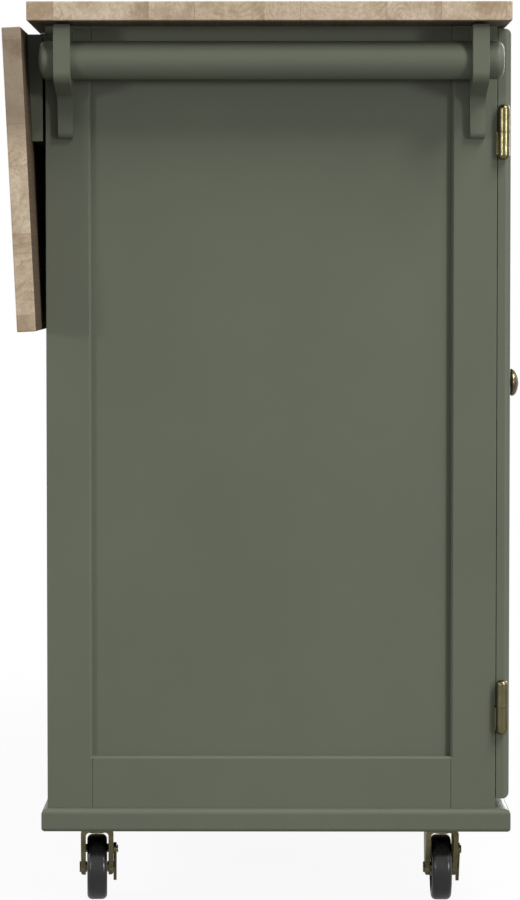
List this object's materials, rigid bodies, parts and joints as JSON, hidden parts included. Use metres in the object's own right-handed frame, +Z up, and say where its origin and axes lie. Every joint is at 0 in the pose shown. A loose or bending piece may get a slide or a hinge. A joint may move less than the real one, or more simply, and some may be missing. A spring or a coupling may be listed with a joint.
{
  "type": "drop leaf kitchen island",
  "caption": "Rolling painted kitchen island with cupboards, drawers, a towel bar and a wood top with a drop leaf.",
  "frame": {"origin": "middle of the outline with the leaf hanging, on the floor under the wheels", "axes": "+X along the worktop towards the end without the towel bar, +Y from the doors to the drop leaf, +Z up"},
  "size_m": [1.118, 0.5344, 0.914],
  "materials": {
    "green_paint": "satin sage green paint",
    "washed_wood": "matt washed staves",
    "birch_ply": "clear lacquer",
    "antique_brass": "polished antique brass",
    "zinc_steel": "bright zinc",
    "black_tread": "hard glossy tread",
    "catch_plastic": "matt"
  },
  "bodies": {
    "leaf": {"drop_leaf": "washed_wood", "leaf_hinge_leaf_plates": "zinc_steel", "leaf_rest_cleats": "washed_wood"},
    "door_left": {"door_left_frame": "green_paint", "door_left_panel": "green_paint", "door_left_knob": "antique_brass", "door_left_hinge_leaves": "antique_brass"},
    "door_right": {"door_right_frame": "green_paint", "door_right_panel": "green_paint", "door_right_knob": "antique_brass", "door_right_hinge_leaves": "antique_brass"},
    "drawer_top": {"drawer_top_front": "green_paint", "drawer_top_box": "birch_ply", "drawer_top_knob": "antique_brass", "drawer_top_slides": "zinc_steel"},
    "drawer_middle": {"drawer_middle_front": "green_paint", "drawer_middle_box": "birch_ply", "drawer_middle_knob": "antique_brass", "drawer_middle_slides": "zinc_steel"},
    "drawer_bottom": {"drawer_bottom_front": "green_paint", "drawer_bottom_box": "birch_ply", "drawer_bottom_knob": "antique_brass", "drawer_bottom_slides": "zinc_steel"},
    "caster_front_left": {"caster_front_left_fork": "antique_brass"},
    "wheel_front_left": {"caster_front_left_wheel": "black_tread"},
    "brake_front_left": {"caster_front_left_brake": "antique_brass"},
    "caster_back_left": {"caster_back_left_fork": "antique_brass"},
    "wheel_back_left": {"caster_back_left_wheel": "black_tread"},
    "brake_back_left": {"caster_back_left_brake": "antique_brass"},
    "caster_front_right": {"caster_front_right_fork": "antique_brass"},
    "wheel_front_right": {"caster_front_right_wheel": "black_tread"},
    "caster_back_right": {"caster_back_right_fork": "antique_brass"},
    "wheel_back_right": {"caster_back_right_wheel": "black_tread"},
    "root": {"worktop": "washed_wood", "leaf_hinge_top_plates": "zinc_steel", "leaf_hinge_pins": "zinc_steel", "leaf_support_left": "green_paint", "leaf_support_right": "green_paint", "leaf_support_hinges": "zinc_steel", "side_frame_left": "green_paint", "side_panel_left": "green_paint", "side_frame_right": "green_paint", "side_panel_right": "green_paint", "back_frame": "green_paint", "back_panels": "green_paint", "base_moulding": "green_paint", "cabinet_floor": "birch_ply", "face_frame": "green_paint", "partitions": "birch_ply", "top_stretchers": "birch_ply", "shelf_left": "birch_ply", "shelf_right": "birch_ply", "shelf_pins": "zinc_steel", "towel_bar": "green_paint", "towel_bracket_front": "green_paint", "towel_bracket_rear": "green_paint", "door_hinge_bases": "antique_brass", "door_catches": "catch_plastic", "drawer_runners": "zinc_steel", "caster_plates": "antique_brass"}
  },
  "joints": [
    {"name": "leaf_raise", "type": "hinge", "parent": "root", "child": "leaf", "pos_m": [0, 0.24328, 0.89], "axis": [1, 0, 0], "range_deg": [0, 92.74]},
    {"name": "door_left_swing", "type": "hinge", "parent": "root", "child": "door_left", "pos_m": [-0.4943, -0.23192, 0.2075], "axis": [0, 0, -1], "range_deg": [0, 155]},
    {"name": "door_right_swing", "type": "hinge", "parent": "root", "child": "door_right", "pos_m": [0.4943, -0.23192, 0.2075], "axis": [0, 0, 1], "range_deg": [0, 155]},
    {"name": "drawer_top_slide", "type": "slide", "parent": "root", "child": "drawer_top", "axis": [0, -1, 0], "range_m": [0, 0.3]},
    {"name": "drawer_middle_slide", "type": "slide", "parent": "root", "child": "drawer_middle", "axis": [0, -1, 0], "range_m": [0, 0.3]},
    {"name": "drawer_bottom_slide", "type": "slide", "parent": "root", "child": "drawer_bottom", "axis": [0, -1, 0], "range_m": [0, 0.3]},
    {"name": "caster_front_left_swivel", "type": "hinge", "parent": "root", "child": "caster_front_left", "pos_m": [-0.457, -0.17322, 0.08], "axis": [0, 0, 1], "continuous": true},
    {"name": "caster_front_left_roll", "type": "hinge", "parent": "caster_front_left", "child": "wheel_front_left", "pos_m": [-0.437, -0.17322, 0.0334], "axis": [0, 1, 0], "continuous": true},
    {"name": "caster_front_left_brake_press", "type": "hinge", "parent": "caster_front_left", "child": "brake_front_left", "pos_m": [-0.429, -0.17322, 0.0504], "axis": [0, 1, 0], "range_deg": [0, 7]},
    {"name": "caster_back_left_swivel", "type": "hinge", "parent": "root", "child": "caster_back_left", "pos_m": [-0.457, 0.18078, 0.08], "axis": [0, 0, 1], "continuous": true},
    {"name": "caster_back_left_roll", "type": "hinge", "parent": "caster_back_left", "child": "wheel_back_left", "pos_m": [-0.43704, 0.18196, 0.0334], "axis": [-0.0593, 0.9982, 0], "continuous": true},
    {"name": "caster_back_left_brake_press", "type": "hinge", "parent": "caster_back_left", "child": "brake_back_left", "pos_m": [-0.42905, 0.18244, 0.0504], "axis": [-0.0593, 0.9982, 0], "range_deg": [0, 7]},
    {"name": "caster_front_right_swivel", "type": "hinge", "parent": "root", "child": "caster_front_right", "pos_m": [0.457, -0.17322, 0.08], "axis": [0, 0, 1], "continuous": true},
    {"name": "caster_front_right_roll", "type": "hinge", "parent": "caster_front_right", "child": "wheel_front_right", "pos_m": [0.477, -0.17322, 0.0334], "axis": [0, 1, 0], "continuous": true},
    {"name": "caster_back_right_swivel", "type": "hinge", "parent": "root", "child": "caster_back_right", "pos_m": [0.457, 0.18078, 0.08], "axis": [0, 0, 1], "continuous": true},
    {"name": "caster_back_right_roll", "type": "hinge", "parent": "caster_back_right", "child": "wheel_back_right", "pos_m": [0.477, 0.18078, 0.0334], "axis": [0, 1, 0], "continuous": true}
  ]
}
